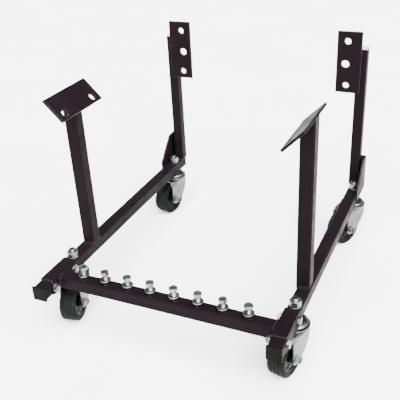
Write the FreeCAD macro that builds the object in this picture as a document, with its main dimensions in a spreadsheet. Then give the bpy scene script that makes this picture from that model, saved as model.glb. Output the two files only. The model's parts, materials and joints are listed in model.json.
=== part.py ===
import FreeCAD, Part
import math
import os
import re
import Sketcher
from FreeCAD import Placement, Rotation, Vector

# Rolling engine stand. Millimetres. X runs across the stand, Y from front to back, Z up from
# the floor. The origin is on the floor in the middle of the stand.

# Driving dimensions.
SIZES = {
    # side rails, cross beam and front uprights: one inch square tube
    "tube": 25.4,
    "tube_wall": 2.3,
    "tube_corner": 3.0,
    "rail_x": 225.0,
    "rail_length": 604.0,
    "rail_underside": 98.0,
    # sleeves that wrap the top, inner side and underside of the rails
    "sleeve": 31.75,
    "sleeve_wall": 3.0,
    "sleeve_corner": 6.0,
    "sleeve_length": 76.0,
    "sleeve_y": -280.0,
    "beam_y": -247.6,
    # plastic end caps of the rails
    "cap_flange": 4.0,
    "rear_cap_flange": 1.2,
    "cap_depth": 12.0,
    # storage bolts along the cross beam
    "storage_pitch": 46.2,
    "storage_bolt": 9.5,
    "storage_across_flats": 14.3,
    "storage_head": 6.0,
    "storage_grip": 10.4,
    "storage_nut": 8.3,
    "storage_washer": 20.6,
    "washer_thickness": 1.65,
    # horizontal cross bolts
    "cross_bolt": 8.0,
    "cross_across_flats": 13.0,
    "cross_head": 5.0,
    "cross_nut": 5.2,
    "cross_washer": 17.0,
    "cross_washer_thickness": 1.5,
    "front_cross_y": -275.0,
    "second_cross_y": -213.0,
    # front uprights and engine mount plates
    "upright_x": 222.5,
    "upright_y": -126.0,
    "plate_thickness": 4.8,
    "plate_width": 50.8,
    "engine_plate_length": 127.0,
    "engine_plate_x": 213.2,
    "engine_plate_rise": 303.5,
    "engine_plate_y": -129.0,
    "engine_plate_tilt": 45.0,
    "engine_hole": 14.3,
    "engine_hole_edge": 12.2,
    "engine_hole_pitch": 89.3,
    # rear uprights, bell-housing plates and gussets
    "rear_tube": 22.2,
    "rear_wall": 1.8,
    "rear_corner": 2.6,
    "rear_upright_x": 219.5,
    "rear_upright_front": 280.5,
    "rear_upright_height": 310.0,
    "plug_flange": 2.0,
    "bell_plate_x": 193.9,
    "bell_plate_rise": 217.0,
    "bell_plate_height": 129.5,
    "bell_hole_x": 190.0,
    "bell_hole_low": 15.7,
    "bell_hole_high": 109.2,
    "bell_hole": 13.5,
    "dowel_hole_x": 187.0,
    "dowel_hole_rise": 61.4,
    "dowel_hole": 16.3,
    "gusset_thickness": 3.2,
    "gusset_front": 225.0,
    "gusset_slope": 50.0,
    "gusset_back": 302.7,
    "gusset_drop": 12.7,
    "gusset_shoulder": 13.0,
    "gusset_top": 65.0,
    "gusset_corner": 12.0,
    # casters
    "front_swivel_y": -191.0,
    "rear_swivel_y": 261.0,
    "wheel": 76.2,
    "wheel_width": 31.75,
    "trail": 31.0,
    "stem": 12.7,
    "stem_top": 140.8,
    # clears the underside of the sleeve, which hangs below the rail
    "stem_collar": 3.4,
    "stem_across_flats": 19.05,
    "stem_nut": 11.1,
    "lock_washer": 22.0,
    "lock_washer_thickness": 1.8,
    "fork_gap": 39.0,
    "fork_steel": 2.5,
    "fork_crown": 54.0,
    "axle": 9.5,
    "axle_across_flats": 14.3,
    "axle_head": 5.2,
    "axle_nut": 8.0,
    "race_ball": 4.8,
    "race_ring": 17.5,
}
STORAGE_TURNS = (12.0, 38.0, 5.0, 24.0, 47.0, 15.0, 31.0, 52.0)
# Where each caster stands and how far its wheel is turned about the stem, degrees.
CASTERS = {
    "fl": (-1, "front_swivel_y", 13.5),
    "fr": (1, "front_swivel_y", -12.6),
    "rl": (-1, "rear_swivel_y", -10.2),
    "rr": (1, "rear_swivel_y", -25.6),
}
SIDES = {"left": -1, "right": 1}
RACE_BALLS = 16
RAIL_TOP = "(rail_underside + tube)"
RAIL_MIDDLE = "(rail_underside + tube / 2)"
AXIS_X = Vector(1, 0, 0)
AXIS_Y = Vector(0, 1, 0)
AXIS_Z = Vector(0, 0, 1)
UPRIGHT = Rotation()
ALONG_X = Rotation(AXIS_Y, 90)
ALONG_MINUS_X = Rotation(AXIS_Y, -90)
ALONG_Y = Rotation(AXIS_X, -90)
# Long enough to cut right through any piece it meets.
THROUGH = "(tube * 3)"

doc = FreeCAD.newDocument("engine_stand")
sheet = doc.addObject("Spreadsheet::Sheet", "sizes")
for row, (alias, size) in enumerate(SIZES.items(), start=1):
    sheet.set("A%d" % row, alias)
    sheet.set("B%d" % row, str(size))
    sheet.setAlias("B%d" % row, alias)
doc.recompute()
nodes = []


def linked(formula):
    """The formula with every dimension read from the sheet."""
    return re.sub(r"[a-z_]+", lambda word: "sizes." + word.group(), formula)


def number(formula):
    """The value of the formula at the driving dimensions."""
    plain = re.sub(r"[a-z_]+", lambda word: repr(SIZES[word.group()]), formula)
    return FreeCAD.Units.Quantity(plain).Value


def place(thing, at, turn=UPRIGHT):
    """Put a thing at three formulas, turned by a rotation."""
    thing.Placement = Placement(Vector(*[number(part) for part in at]), turn)
    for letter, formula in zip("xyz", at):
        thing.setExpression("Placement.Base." + letter, linked(formula))
    return thing


def keep(thing, name):
    """Mark a thing as a finished piece with its own file."""
    thing.Label = name
    nodes.append(thing)
    return thing


def signed(side, formula):
    return "%d * (%s)" % (side, formula)


# ---- Part primitives -------------------------------------------------------------------------

def cylinder(radius, height, at, turn=UPRIGHT):
    thing = doc.addObject("Part::Cylinder", "cylinder")
    thing.setExpression("Radius", linked(radius))
    thing.setExpression("Height", linked(height))
    return place(thing, at, turn)


def box(size, at, turn=UPRIGHT):
    thing = doc.addObject("Part::Box", "box")
    for side, formula in zip(("Length", "Width", "Height"), size):
        thing.setExpression(side, linked(formula))
    return place(thing, at, turn)


def hexagon(across_flats, height, at, turn=UPRIGHT):
    thing = doc.addObject("Part::Prism", "hexagon")
    thing.Polygon = 6
    thing.setExpression("Circumradius", "%s / sqrt(3)" % linked(across_flats))
    thing.setExpression("Height", linked(height))
    return place(thing, at, turn)


def bead(radius, length, at, turn):
    """A weld bead that fills the corner between two faces: a quarter of a cylinder."""
    thing = cylinder(radius, length, at, turn)
    thing.Angle = 90
    return thing


def joined(parts):
    thing = doc.addObject("Part::MultiFuse", "joined")
    thing.Shapes = parts
    return thing


def cut_from(base, tool):
    thing = doc.addObject("Part::Cut", "cut")
    thing.Base = base
    thing.Tool = tool
    return thing


def group(parts):
    thing = doc.addObject("Part::Compound", "group")
    thing.Links = parts
    return thing


def ring(outer, hole, height, at, turn=UPRIGHT):
    """A washer; outer and hole are diameters."""
    return place_as(cut_from(cylinder(outer + " / 2", height, ("0", "0", "0")),
                             cylinder(hole + " / 2", height, ("0", "0", "0"))), at, turn)


def place_as(thing, at, turn):
    doc.recompute()
    return place(thing, at, turn)


def hex_nut(across_flats, hole, height, at, turn=UPRIGHT):
    return place_as(cut_from(hexagon(across_flats, height, ("0", "0", "0")),
                             cylinder(hole + " / 2", height, ("0", "0", "0"))), at, turn)


def hex_bolt(across_flats, head, diameter, length, at, turn=UPRIGHT):
    """A bolt whose shank runs down from the underside of its head."""
    shank = cylinder(diameter + " / 2", length + " + 1", ("0", "0", "-(%s)" % length))
    return place_as(joined([hexagon(across_flats, head, ("0", "0", "0")), shank]), at, turn)


# ---- PartDesign bodies -----------------------------------------------------------------------

def new_body(name):
    return keep(doc.addObject("PartDesign::Body", name), name)


def sketch_on(body, role, offset="0"):
    """A sketch on one of the body's own planes, moved along that plane's normal."""
    plane = [part for part in body.Origin.OriginFeatures if part.Role == role][0]
    sketch = body.newObject("Sketcher::SketchObject", body.Name + "_sketch")
    sketch.AttachmentSupport = [(plane, "")]
    sketch.MapMode = "FlatFace"
    sketch.AttachmentOffset = Placement(Vector(0, 0, number(offset)), Rotation())
    sketch.setExpression("AttachmentOffset.Base.z", linked(offset))
    return sketch


def fix_point(sketch, element, vertex, corner):
    for kind, formula in zip(("DistanceX", "DistanceY"), corner):
        rule = Sketcher.Constraint(kind, -1, 1, element, vertex, number(formula))
        sketch.setExpression("Constraints[%d]" % sketch.addConstraint(rule), linked(formula))


def polygon(sketch, corners):
    """A closed outline through corners given as pairs of formulas."""
    points = [Vector(number(x), number(y), 0) for x, y in corners]
    first = sketch.GeometryCount
    for start, end in zip(points, points[1:] + points[:1]):
        sketch.addGeometry(Part.LineSegment(start, end), False)
    count = len(points)
    for index, corner in enumerate(corners):
        following = first + (index + 1) % count
        sketch.addConstraint(Sketcher.Constraint("Coincident", first + index, 2, following, 1))
        fix_point(sketch, first + index, 1, corner)
    return sketch


def square(sketch, width):
    low = "-(%s) / 2" % width
    high = "(%s) / 2" % width
    return polygon(sketch, [(low, low), (high, low), (high, high), (low, high)])


def circle(sketch, diameter, centre):
    middle = Vector(number(centre[0]), number(centre[1]), 0)
    radius = number(diameter) / 2
    index = sketch.addGeometry(Part.Circle(middle, AXIS_Z, radius), False)
    fix_point(sketch, index, 3, centre)
    rule = Sketcher.Constraint("Diameter", index, number(diameter))
    sketch.setExpression("Constraints[%d]" % sketch.addConstraint(rule), linked(diameter))
    return sketch


def pad(body, sketch, length):
    feature = body.newObject("PartDesign::Pad", body.Name + "_pad")
    feature.Profile = sketch
    feature.setExpression("Length", linked(length))
    doc.recompute()
    return feature


def pocket(body, sketch, depth, forward=False):
    """Cut against the sketch's normal, or along it when forward is set."""
    before = body.Shape.Volume
    feature = body.newObject("PartDesign::Pocket", body.Name + "_pocket")
    feature.Profile = sketch
    feature.Reversed = forward
    feature.setExpression("Length", linked(depth))
    doc.recompute()
    if body.Shape.Volume > before - 1e-3:
        raise RuntimeError("%s cuts nothing" % feature.Name)
    return feature


def revolve(body, sketch, axis):
    feature = body.newObject("PartDesign::Revolution", body.Name + "_turned")
    feature.Profile = sketch
    feature.ReferenceAxis = (sketch, [axis])
    feature.Angle = 360
    doc.recompute()
    return feature


def round_edges(body, direction, radius, choose=lambda edge: True):
    """Round the straight edges of the body that run in one direction."""
    tip = body.Tip
    names = []
    for index, edge in enumerate(tip.Shape.Edges, start=1):
        straight = edge.Curve.TypeId == "Part::GeomLine"
        if straight and abs(edge.tangentAt(edge.FirstParameter).dot(direction)) > 0.999:
            if choose(edge):
                names.append("Edge%d" % index)
    feature = body.newObject("PartDesign::Fillet", body.Name + "_round")
    feature.Base = (tip, names)
    feature.setExpression("Radius", linked(radius))
    doc.recompute()
    return feature


def square_tube(name, width, wall, corner, length):
    """A square tube from its own origin up its own Z."""
    body = new_body(name)
    pad(body, square(sketch_on(body, "XY_Plane"), width), length)
    round_edges(body, AXIS_Z, corner)
    bore = square(sketch_on(body, "XY_Plane"), "%s - 2 * %s" % (width, wall))
    pocket(body, bore, length, forward=True)
    return body


# ---- Rails, sleeves, cross beam --------------------------------------------------------------

RAIL_START = "-(rail_length / 2)"
CROSS_ROWS = ("front_cross_y", "second_cross_y")


def rail(name, side):
    """A rail along Y. Its own Z is the stand's Y and its own Y points down."""
    body = square_tube(name, "tube", "tube_wall", "tube_corner", "rail_length")
    stems = sketch_on(body, "XZ_Plane", "tube")
    for swivel in ("front_swivel_y", "rear_swivel_y"):
        circle(stems, "stem + 0.6", ("0", "%s + rail_length / 2" % swivel))
    pocket(body, stems, THROUGH)
    bolts = sketch_on(body, "YZ_Plane", "tube")
    for row in CROSS_ROWS:
        circle(bolts, "cross_bolt + 0.6", ("0", "%s + rail_length / 2" % row))
    pocket(body, bolts, THROUGH)
    return place(body, (signed(side, "rail_x"), RAIL_START, RAIL_MIDDLE), ALONG_Y)


def sleeve(name, side):
    """A square tube whose outer wall is cut away flush with the rail's outer side."""
    body = square_tube(name, "sleeve", "sleeve_wall", "sleeve_corner", "sleeve_length")
    opening = sketch_on(body, "XY_Plane")
    near, far = signed(side, "tube / 2"), signed(side, "sleeve")
    pocket(body, polygon(opening, [(near, "-sleeve"), (far, "-sleeve"),
                                   (far, "sleeve"), (near, "sleeve")]),
           "sleeve_length", forward=True)
    bolts = sketch_on(body, "YZ_Plane", "sleeve")
    for row in CROSS_ROWS:
        circle(bolts, "cross_bolt + 0.6", ("0", "%s - sleeve_y" % row))
    pocket(body, bolts, THROUGH)
    return place(body, (signed(side, "rail_x"), "sleeve_y", RAIL_MIDDLE), ALONG_Y)


def end_cap(side, flange_width, flange_thickness, at, turn):
    """A push-in cap: a flange that covers the tube's end and a plug inside it."""
    flange = box((flange_width, flange_width, flange_thickness),
                 ("-(%s) / 2" % flange_width, "-(%s) / 2" % flange_width,
                  "-" + flange_thickness))
    plug = box(("tube - 2 * tube_wall - 0.2", "tube - 2 * tube_wall - 0.2", "cap_depth"),
               ("-(tube / 2 - tube_wall - 0.1)", "-(tube / 2 - tube_wall - 0.1)", "0"))
    return place_as(joined([flange, plug]), (signed(side, "rail_x"), at, RAIL_MIDDLE), turn)


def make_rails():
    for name, side in SIDES.items():
        rail(name + "_rail", side)
        sleeve(name + "_sleeve", side)
    turned = Rotation(AXIS_X, 90)
    keep(group([end_cap(side, "tube + 2", "cap_flange", RAIL_START, ALONG_Y)
                for side in SIDES.values()]), "front_end_caps")
    keep(group([end_cap(side, "tube - 0.4", "rear_cap_flange", "rail_length / 2", turned)
                for side in SIDES.values()]), "rear_end_caps")


BEAM_LENGTH = "(2 * rail_x - sleeve)"


def storage_x(index):
    return "%.1f * storage_pitch" % (index - 3.5)


def make_cross_beam():
    """The beam lies along X; its own X points down, so its top wall is at minus X."""
    body = square_tube("front_crossbeam", "tube", "tube_wall", "tube_corner", BEAM_LENGTH)
    holes = sketch_on(body, "YZ_Plane", "-tube")
    for index in range(8):
        circle(holes, "storage_bolt + 0.6", ("0", "%s + %s / 2" % (storage_x(index), BEAM_LENGTH)))
    pocket(body, holes, "tube / 2 + tube_wall + 1", forward=True)
    place(body, ("-(%s / 2)" % BEAM_LENGTH, "beam_y", RAIL_MIDDLE), ALONG_X)


def make_storage_bolts():
    nuts = []
    washers = []
    bolts = []
    washer_top = RAIL_TOP + " + storage_nut + washer_thickness"
    shank = "storage_grip + washer_thickness + storage_nut + tube_wall + 4"
    for index, degrees in enumerate(STORAGE_TURNS):
        x = storage_x(index)
        turn = Rotation(AXIS_Z, degrees)
        half_turn = Rotation(AXIS_Z, degrees / 2)
        nuts.append(hex_nut("storage_across_flats", "(storage_bolt + 0.1)", "storage_nut",
                            (x, "beam_y", RAIL_TOP), half_turn))
        washers.append(ring("storage_washer", "(storage_bolt + 0.6)", "washer_thickness",
                            (x, "beam_y", RAIL_TOP + " + storage_nut")))
        bolts.append(hex_bolt("storage_across_flats", "storage_head", "storage_bolt", shank,
                              (x, "beam_y", washer_top + " + storage_grip"), turn))
    keep(group(nuts), "crossbeam_nuts")
    keep(group(washers), "storage_washers")
    keep(group(bolts), "storage_bolts")


def cross_set(side, y):
    """Bolt head on the rail's outer side; washer and nut on the sleeve's inner side."""
    outward = ALONG_X if side > 0 else ALONG_MINUS_X
    inward = ALONG_MINUS_X if side > 0 else ALONG_X
    inner = "rail_x - sleeve / 2"
    bolt = hex_bolt("cross_across_flats", "cross_head", "cross_bolt",
                    "(tube + sleeve) / 2 + cross_washer_thickness + cross_nut + 2",
                    (signed(side, "rail_x + tube / 2"), y, RAIL_MIDDLE), outward)
    washer = ring("cross_washer", "(cross_bolt + 0.4)", "cross_washer_thickness",
                  (signed(side, inner), y, RAIL_MIDDLE), inward)
    nut = hex_nut("cross_across_flats", "(cross_bolt + 0.1)", "cross_nut",
                  (signed(side, inner + " - cross_washer_thickness"), y, RAIL_MIDDLE), inward)
    return bolt, washer, nut


def make_cross_bolts():
    sets = [cross_set(side, row) for side in SIDES.values() for row in CROSS_ROWS]
    for name, pieces in zip(("bolts", "washers", "nuts"), zip(*sets)):
        keep(group(list(pieces)), "sleeve_cross_" + name)


# ---- Front uprights and engine mount plates --------------------------------------------------

def make_front_uprights():
    for name, side in SIDES.items():
        body = square_tube(name + "_front_upright", "tube", "tube_wall", "tube_corner",
                           "engine_plate_rise + tube")
        # The top is cut off along the underside of the tilted plate.
        at_axis = ("(engine_plate_rise - plate_thickness * sqrt(2)"
                   " + upright_x - engine_plate_x)")
        top = sketch_on(body, "XZ_Plane", "tube")
        reach = "tube"
        top_line = [(signed(side, "-tube"), at_axis + " - " + reach),
                    (signed(side, "tube"), at_axis + " + " + reach),
                    (signed(side, "tube"), at_axis + " + 3 * tube"),
                    (signed(side, "-tube"), at_axis + " + 3 * tube")]
        polygon_with_root(top, top_line)
        pocket(body, top, THROUGH)
        place(body, (signed(side, "upright_x"), "upright_y", RAIL_TOP))


def polygon_with_root(sketch, corners):
    """A polygon whose formulas use the square root of two."""
    root = "%.6f" % math.sqrt(2)
    return polygon(sketch, [(x.replace("sqrt(2)", root), y.replace("sqrt(2)", root))
                            for x, y in corners])


def make_engine_plates():
    """Each plate's own X runs up the slope; its upper face is at its own Z = 0."""
    for name, side in SIDES.items():
        body = new_body(name + "_engine_plate")
        long = "engine_plate_length / 2"
        wide = "plate_width / 2"
        outline = sketch_on(body, "XY_Plane", "-plate_thickness")
        pad(body, polygon(outline, [("-" + wide, "-" + long), (wide, "-" + long),
                                    (wide, long), ("-" + wide, long)]), "plate_thickness")
        holes = sketch_on(body, "XY_Plane")
        row = "-(plate_width / 2 - engine_hole_edge)"
        for end in (-1, 1):
            circle(holes, "engine_hole", (row, "%d * engine_hole_pitch / 2" % end))
        pocket(body, holes, THROUGH)
        tilt = Rotation(AXIS_Y, -SIZES["engine_plate_tilt"])
        turn = tilt if side > 0 else Rotation(AXIS_Z, 180).multiply(tilt)
        place(body, (signed(side, "engine_plate_x"), "engine_plate_y",
                     RAIL_TOP + " + engine_plate_rise"), turn)


# ---- Rear uprights, bell-housing plates, gussets ---------------------------------------------

REAR_Y = "(rear_upright_front + rear_tube / 2)"


def make_rear_uprights():
    for name, side in SIDES.items():
        tube = square_tube(name + "_rear_upright", "rear_tube", "rear_wall", "rear_corner",
                           "rear_upright_height")
        place(tube, (signed(side, "rear_upright_x"), REAR_Y, RAIL_TOP))
        cap = box(("rear_tube - 0.4", "rear_tube - 0.4", "plug_flange"),
                  ("-(rear_tube / 2 - 0.2)", "-(rear_tube / 2 - 0.2)", "0"))
        plug = box(("rear_tube - 2 * rear_wall - 0.2", "rear_tube - 2 * rear_wall - 0.2",
                    "cap_depth"),
                   ("-(rear_tube / 2 - rear_wall - 0.1)", "-(rear_tube / 2 - rear_wall - 0.1)",
                    "-cap_depth"))
        keep(place_as(joined([cap, plug]),
                      (signed(side, "rear_upright_x"), REAR_Y,
                       RAIL_TOP + " + rear_upright_height"), UPRIGHT), name + "_upright_plug")


def make_bell_plates():
    """Each plate stands against the front of its rear upright."""
    for name, side in SIDES.items():
        body = new_body(name + "_bell_plate")
        outline = sketch_on(body, "XZ_Plane")
        pad(body, polygon(outline, [("-plate_width / 2", "0"), ("plate_width / 2", "0"),
                                    ("plate_width / 2", "bell_plate_height"),
                                    ("-plate_width / 2", "bell_plate_height")]),
            "plate_thickness")
        holes = sketch_on(body, "XZ_Plane", "tube")
        small = signed(side, "bell_hole_x - bell_plate_x")
        circle(holes, "bell_hole", (small, "bell_hole_low"))
        circle(holes, "bell_hole", (small, "bell_hole_high"))
        circle(holes, "dowel_hole", (signed(side, "dowel_hole_x - bell_plate_x"),
                                     "dowel_hole_rise"))
        pocket(body, holes, THROUGH)
        place(body, (signed(side, "bell_plate_x"), "rear_upright_front",
                     RAIL_TOP + " + bell_plate_rise"))


def make_gussets():
    """Bent plates on the outer faces of the rails, drawn in the stand's Y and Z."""
    for name, side in SIDES.items():
        body = new_body(name + "_gusset")
        outline = sketch_on(body, "YZ_Plane", "0" if side > 0 else "-gusset_thickness")
        pad(body, polygon(outline, [("gusset_front", "-gusset_drop"),
                                    ("gusset_back", "-gusset_drop"),
                                    ("gusset_back", "gusset_top"),
                                    ("gusset_front + gusset_slope", "gusset_top"),
                                    ("gusset_front", "gusset_shoulder")]), "gusset_thickness")
        # The rear edge is bent inward over the rail until it meets the upright.
        reach = "rail_x + tube / 2 - rear_upright_x - rear_tube / 2"
        flange = sketch_on(body, "XY_Plane", "0.2")
        inner = signed(-side, reach)
        pad(body, polygon(flange, [("0", "gusset_back - gusset_thickness"),
                                   (inner, "gusset_back - gusset_thickness"),
                                   (inner, "gusset_back"), ("0", "gusset_back")]),
            "gusset_top - 0.2")
        place(body, (signed(side, "rail_x + tube / 2"), "0", RAIL_TOP))


# ---- Weld beads ------------------------------------------------------------------------------

def corner_bead(radius, length, middle, first, second):
    """A bead centred on middle; first and second are unit vectors lying in its two faces."""
    along = first.cross(second)
    start = ["%s - %d * (%s) / 2" % (at, round(step), length) if round(step) else at
             for at, step in zip(middle, along)]
    return bead(radius, length, start, Rotation(first, second, along, "ZXY"))


def make_welds():
    for name, side in SIDES.items():
        outward, inward = AXIS_X * side, AXIS_X * -side
        beads = []
        for way in (-1, 1):
            # Front and back of the beam's end, against the sleeve.
            beads.append(corner_bead("3.2", "tube - 7",
                                     (signed(side, "rail_x - sleeve / 2"),
                                      "beam_y + %d * tube / 2" % way, RAIL_MIDDLE),
                                     AXIS_Y * way, inward))
            # Front and back of the front upright's base.
            beads.append(corner_bead("3.4", "tube - 7",
                                     (signed(side, "upright_x"),
                                      "upright_y + %d * tube / 2" % way, RAIL_TOP),
                                     AXIS_Y * way, AXIS_Z))
        # Front of the rear upright's base.
        beads.append(corner_bead("1.6", "rear_tube - 6",
                                 (signed(side, "rear_upright_x"), "rear_upright_front", RAIL_TOP),
                                 AXIS_Y * -1, AXIS_Z))
        # Back of the bell-housing plate, along the inner side of the upright.
        beads.append(corner_bead("3.0", "80",
                                 (signed(side, "rear_upright_x - rear_tube / 2"),
                                  "rear_upright_front", RAIL_TOP + " + bell_plate_rise + 46"),
                                 inward, AXIS_Y))
        # Front of the gusset's bent edge, along the outer side of the upright.
        beads.append(corner_bead("3.0", "gusset_top - 8",
                                 (signed(side, "rear_upright_x + rear_tube / 2"),
                                  "gusset_back - gusset_thickness",
                                  RAIL_TOP + " + gusset_top / 2"),
                                 outward, AXIS_Y * -1))
        keep(group(beads), name + "_weld_beads")


# ---- Casters ---------------------------------------------------------------------------------

COLLAR_UNDER = "(rail_underside - stem_collar)"
RACE_TOP = "(rail_underside - stem_collar - 4)"
CROWN_TOP = "(rail_underside - stem_collar - 9.1)"
CROWN_UNDER = "(rail_underside - stem_collar - 12.1)"
AXLE_HEIGHT = "(wheel / 2)"
FORK_OUTER = "(fork_gap / 2 + fork_steel)"
BOSS = "12"
LEG_FRONT = "15"
LEG_BACK = "-40"


class Corner:
    """One caster: its stem axis and the turn of its fork about it."""

    def __init__(self, name):
        self.name = name
        side, swivel, degrees = CASTERS[name]
        self.side = side
        self.stem = (signed(side, "rail_x"), swivel, "0")
        self.turn = Rotation(AXIS_Z, degrees)

    def keep(self, thing, label):
        doc.recompute()
        return place(keep(thing, self.name + "_" + label), self.stem, self.turn)

    def body(self, label):
        return new_body(self.name + "_" + label)


def caster_stem(corner):
    """Stem, upper race and kingpin turned in one piece about the swivel axis."""
    body = corner.body("stem")
    profile = sketch_on(body, "XZ_Plane")
    polygon(profile, [("0", CROWN_UNDER + " - 4"), ("8.5", CROWN_UNDER + " - 4"),
                      ("8.5", CROWN_UNDER + " - 0.4"), ("6", CROWN_UNDER + " - 0.4"),
                      ("6", RACE_TOP), ("22", RACE_TOP), ("22", RACE_TOP + " - 1.2"),
                      ("24", RACE_TOP + " - 1.2"), ("24", RACE_TOP + " + 1.6"),
                      ("21", COLLAR_UNDER), ("12", COLLAR_UNDER),
                      ("12", "rail_underside"), ("stem / 2", "rail_underside"),
                      ("stem / 2", "stem_top - 1"), ("stem / 2 - 1", "stem_top"),
                      ("0", "stem_top")])
    revolve(body, profile, "V_Axis")
    place(body, corner.stem)


def caster_fork(corner):
    """Crown with its ball cup, two legs and the axle holes."""
    body = corner.body("fork")
    cup = sketch_on(body, "XZ_Plane")
    rim = "fork_crown / 2"
    polygon(cup, [("6.05", CROWN_UNDER), (rim, CROWN_UNDER), (rim, CROWN_TOP + " + 3"),
                  (rim + " - 2", CROWN_TOP + " + 3"), (rim + " - 2", CROWN_TOP),
                  ("6.05", CROWN_TOP)])
    revolve(body, cup, "V_Axis")
    bridge = sketch_on(body, "XY_Plane", CROWN_UNDER)
    polygon(bridge, [("-" + FORK_OUTER, LEG_BACK), (FORK_OUTER, LEG_BACK),
                     (FORK_OUTER, "-10"), ("-" + FORK_OUTER, "-10")])
    pad(body, bridge, "3")
    for start in ("-" + FORK_OUTER, "fork_gap / 2"):
        leg = sketch_on(body, "YZ_Plane", start)
        polygon(leg, [(LEG_FRONT, CROWN_TOP), (LEG_BACK, CROWN_TOP),
                      ("-trail - " + BOSS, CROWN_UNDER + " - 4"),
                      ("-trail - " + BOSS, AXLE_HEIGHT),
                      ("-trail + 0.7071 * " + BOSS, AXLE_HEIGHT + " - 0.7071 * " + BOSS),
                      ("-5", "36"), ("2", "44"), ("10", "57"), (LEG_FRONT, "72")])
        pad(body, leg, "fork_steel")
        boss = sketch_on(body, "YZ_Plane", start)
        circle(boss, "2 * " + BOSS, ("-trail", AXLE_HEIGHT))
        pad(body, boss, "fork_steel")
    axle = sketch_on(body, "YZ_Plane", "tube")
    circle(axle, "axle + 0.2", ("-trail", AXLE_HEIGHT))
    pocket(body, axle, THROUGH)
    place(body, corner.stem, corner.turn)


def caster_axle(corner):
    head = hexagon("axle_across_flats", "axle_head",
                   ("-%s - axle_head" % FORK_OUTER, "-trail", AXLE_HEIGHT), ALONG_X)
    shank = cylinder("axle / 2", "2 * %s + axle_nut + 1.5 + 1" % FORK_OUTER,
                     ("-%s - 1" % FORK_OUTER, "-trail", AXLE_HEIGHT), ALONG_X)
    corner.keep(joined([head, shank]), "axle_bolt")
    nut = hexagon("axle_across_flats", "axle_nut",
                  (FORK_OUTER, "-trail", AXLE_HEIGHT), ALONG_X)
    hole = cylinder("axle / 2 + 0.05", THROUGH, ("0", "-trail", AXLE_HEIGHT), ALONG_X)
    corner.keep(cut_from(nut, hole), "axle_nut")


def mirrored(half):
    """A turned outline from its half on the positive side: pairs of x and radius."""
    other = [("-(%s)" % x, radius) for x, radius in reversed(half)]
    return half + other


def caster_wheel(corner):
    """Core and tyre, each turned about the axle, which is its own X axis."""
    halves = {
        "wheel_core": [("fork_gap / 2 - 0.3", "axle / 2 + 0.05"),
                       ("fork_gap / 2 - 0.3", "8"), ("wheel_width / 2 - 0.4", "10.5"),
                       ("12", "12.5"), ("11.5", "22"),
                       ("wheel_width / 2 - 1.5", "24.5"), ("wheel_width / 2 - 1.5", "28")],
        "tyre": [("wheel_width / 2 - 0.5", "28"), ("wheel_width / 2", "29"),
                 ("wheel_width / 2", "wheel / 2 - 2.5"), ("wheel_width / 2 - 2.5", "wheel / 2"),
                 ("9", "wheel / 2"), ("8.6", "wheel / 2 - 1.6"), ("7.2", "wheel / 2 - 1.6"),
                 ("6.8", "wheel / 2"), ("1.1", "wheel / 2"), ("0.7", "wheel / 2 - 1.6")],
    }
    for label, half in halves.items():
        body = corner.body(label)
        revolve(body, polygon(sketch_on(body, "XZ_Plane"), mirrored(half)), "H_Axis")
        centre = corner.turn.multVec(Vector(0, -SIZES["trail"], SIZES["wheel"] / 2))
        stem = Vector(*[number(part) for part in corner.stem])
        body.Placement = Placement(stem + centre, corner.turn)


def caster_balls(corner):
    """The balls of the swivel race, in a ring round the kingpin."""
    balls = []
    for index in range(RACE_BALLS):
        ball = doc.addObject("Part::Sphere", "ball")
        ball.setExpression("Radius", linked("race_ball / 2"))
        degrees = index * 360 / RACE_BALLS
        reach = "%.6f * race_ring" % math.cos(math.radians(degrees))
        across = "%.6f * race_ring" % math.sin(math.radians(degrees))
        balls.append(place(ball, (reach, across, CROWN_TOP + " + race_ball / 2")))
    corner.keep(group(balls), "race_balls")


def make_stem_nuts(corners):
    nuts = []
    washers = []
    for index, corner in enumerate(corners):
        x, y, _ = corner.stem
        washers.append(ring("lock_washer", "(stem + 0.4)", "lock_washer_thickness",
                            (x, y, RAIL_TOP)))
        nuts.append(hex_nut("stem_across_flats", "(stem + 0.1)", "stem_nut",
                            (x, y, RAIL_TOP + " + lock_washer_thickness"),
                            Rotation(AXIS_Z, 20 + 17 * index)))
    keep(group(nuts), "stem_nuts")
    keep(group(washers), "stem_lock_washers")


def make_casters():
    corners = [Corner(name) for name in CASTERS]
    for corner in corners:
        caster_stem(corner)
        caster_fork(corner)
        caster_axle(corner)
        caster_wheel(corner)
        caster_balls(corner)
    make_stem_nuts(corners)


def check(thing):
    states = [part.Label for part in doc.Objects if {"Invalid", "Error"} & set(part.State)]
    if states:
        raise RuntimeError("not computed: %s" % states)
    if thing.Shape.isNull() or not thing.Shape.isValid():
        raise RuntimeError("bad shape: " + thing.Label)


def write_nodes():
    doc.recompute()
    os.makedirs("parts", exist_ok=True)
    for thing in nodes:
        check(thing)
        thing.Shape.exportStep("parts/%s.step" % thing.Label)


make_rails()
make_cross_beam()
make_storage_bolts()
make_cross_bolts()
make_front_uprights()
make_engine_plates()
make_rear_uprights()
make_bell_plates()
make_gussets()
make_welds()
make_casters()
write_nodes()
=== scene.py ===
import json
import math
import random

import bpy
from mathutils import Matrix, Vector


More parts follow.
